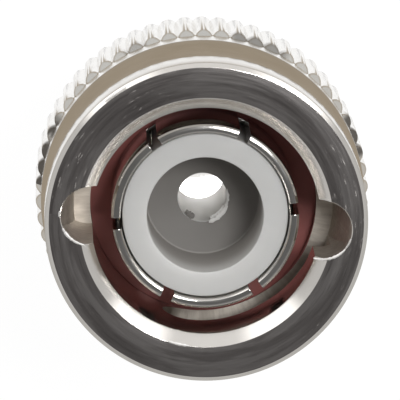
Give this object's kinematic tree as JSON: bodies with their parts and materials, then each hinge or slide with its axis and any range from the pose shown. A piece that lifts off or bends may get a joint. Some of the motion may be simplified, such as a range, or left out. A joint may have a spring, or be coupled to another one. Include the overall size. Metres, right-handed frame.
{
  "type": "coaxial cable plug with a bayonet coupling",
  "caption": "Round metal coaxial cable plug with a knurled bayonet coupling nut, slotted contact sleeve, white insulator and crimp stem.",
  "frame": {"origin": "centre of the crimp stem's end face, at the bottom of the plug", "axes": "+Z along the plug's axis towards the mating face; X along the line of the two bayonet notches"},
  "size_m": [0.0144, 0.0144, 0.0224],
  "materials": {
    "nickel_plate": "turned brass with bright nickel plating, light tool marks and scratches",
    "contact_plate": "bright plated spring sleeve with sawn slots",
    "white_insulator": "smooth white turned plastic",
    "red_silicone": "smooth dark red silicone",
    "spring_steel": "plain stamped spring steel"
  },
  "bodies": {
    "plug": {"plug_body": "nickel_plate", "outer_contact": "contact_plate", "insulator": "white_insulator", "gasket": "red_silicone", "front_washer": "spring_steel", "wave_washer": "spring_steel", "retaining_ring": "spring_steel"},
    "nut_carriage": {"thrust_washer": "spring_steel"},
    "nut": {"coupling_nut": "nickel_plate"}
  },
  "joints": [
    {"name": "nut_slide", "type": "slide", "parent": "plug", "child": "nut_carriage", "axis": [0, 0, 1], "range_m": [0, 0.0005], "stiffness_N_per_m": 1500, "springref_m": -0.0005, "deforming": ["wave_washer"]},
    {"name": "nut_turn", "type": "hinge", "parent": "nut_carriage", "child": "nut", "pos_m": [0, 0, 0.0127], "axis": [0, 0, 1], "continuous": true}
  ]
}
